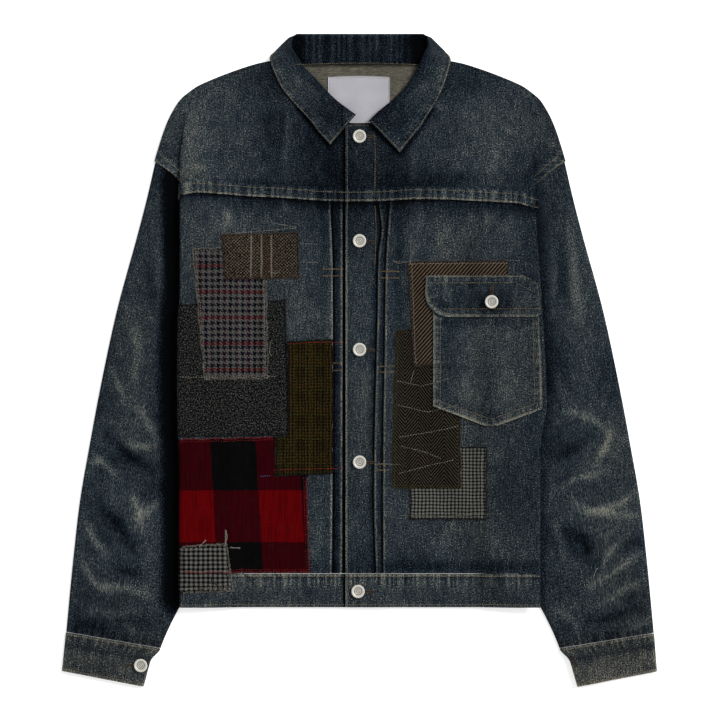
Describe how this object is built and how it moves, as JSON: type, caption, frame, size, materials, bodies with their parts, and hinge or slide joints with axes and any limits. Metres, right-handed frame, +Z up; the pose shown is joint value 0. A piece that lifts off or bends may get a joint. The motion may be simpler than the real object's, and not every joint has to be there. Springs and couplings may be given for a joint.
{
  "type": "patched denim jacket",
  "caption": "Dark denim work jacket laid flat, patched with tweed, houndstooth, herringbone and red check wool, with a chest flap pocket and metal buttons.",
  "frame": {"origin": "middle of the object's box, on the surface that it lies on", "axes": "+Z up, out of the jacket's front; +Y from the hem to the collar; +X towards the wearer's left"},
  "size_m": [0.682, 0.7502, 0.0265],
  "materials": {
    "denim": "washed indigo denim, dirty olive cast, worn at seams",
    "label_tape": "matt woven tape",
    "charcoal_tweed": "matt wool",
    "grey_houndstooth": "matt wool, fine check with red lines",
    "brown_stripe_tweed": "matt wool with pale stripes",
    "red_black_check": "matt wool, large check",
    "olive_check": "matt wool, glen check",
    "small_grey_check": "matt wool, small check",
    "olive_herringbone": "matt wool, herringbone",
    "brown_twill": "matt wool twill",
    "button_metal": "satin, ringed face"
  },
  "bodies": {
    "root": {"back_panel": "denim", "back_yoke": "denim", "front_left": "denim", "front_right": "denim", "front_yoke_left": "denim", "front_yoke_right": "denim", "waistband_left": "denim", "waistband_right": "denim", "waistband_back": "denim", "sleeve_left": "denim", "sleeve_right": "denim", "cuff_left": "denim", "cuff_right": "denim", "collar": "denim", "pocket": "denim", "pocket_flap": "denim", "neck_label": "label_tape", "patch_charcoal": "charcoal_tweed", "patch_houndstooth": "grey_houndstooth", "patch_brown_stripe": "brown_stripe_tweed", "patch_red_check": "red_black_check", "patch_olive_check": "olive_check", "patch_small_check": "small_grey_check", "patch_grey_check": "small_grey_check", "patch_herringbone": "olive_herringbone", "patch_brown_twill": "brown_twill", "button_front_1": "button_metal", "button_front_2": "button_metal", "button_front_3": "button_metal", "button_front_4": "button_metal", "button_front_5": "button_metal", "button_pocket": "button_metal", "button_cuff_left": "button_metal", "button_cuff_right": "button_metal"}
  },
  "joints": []
}
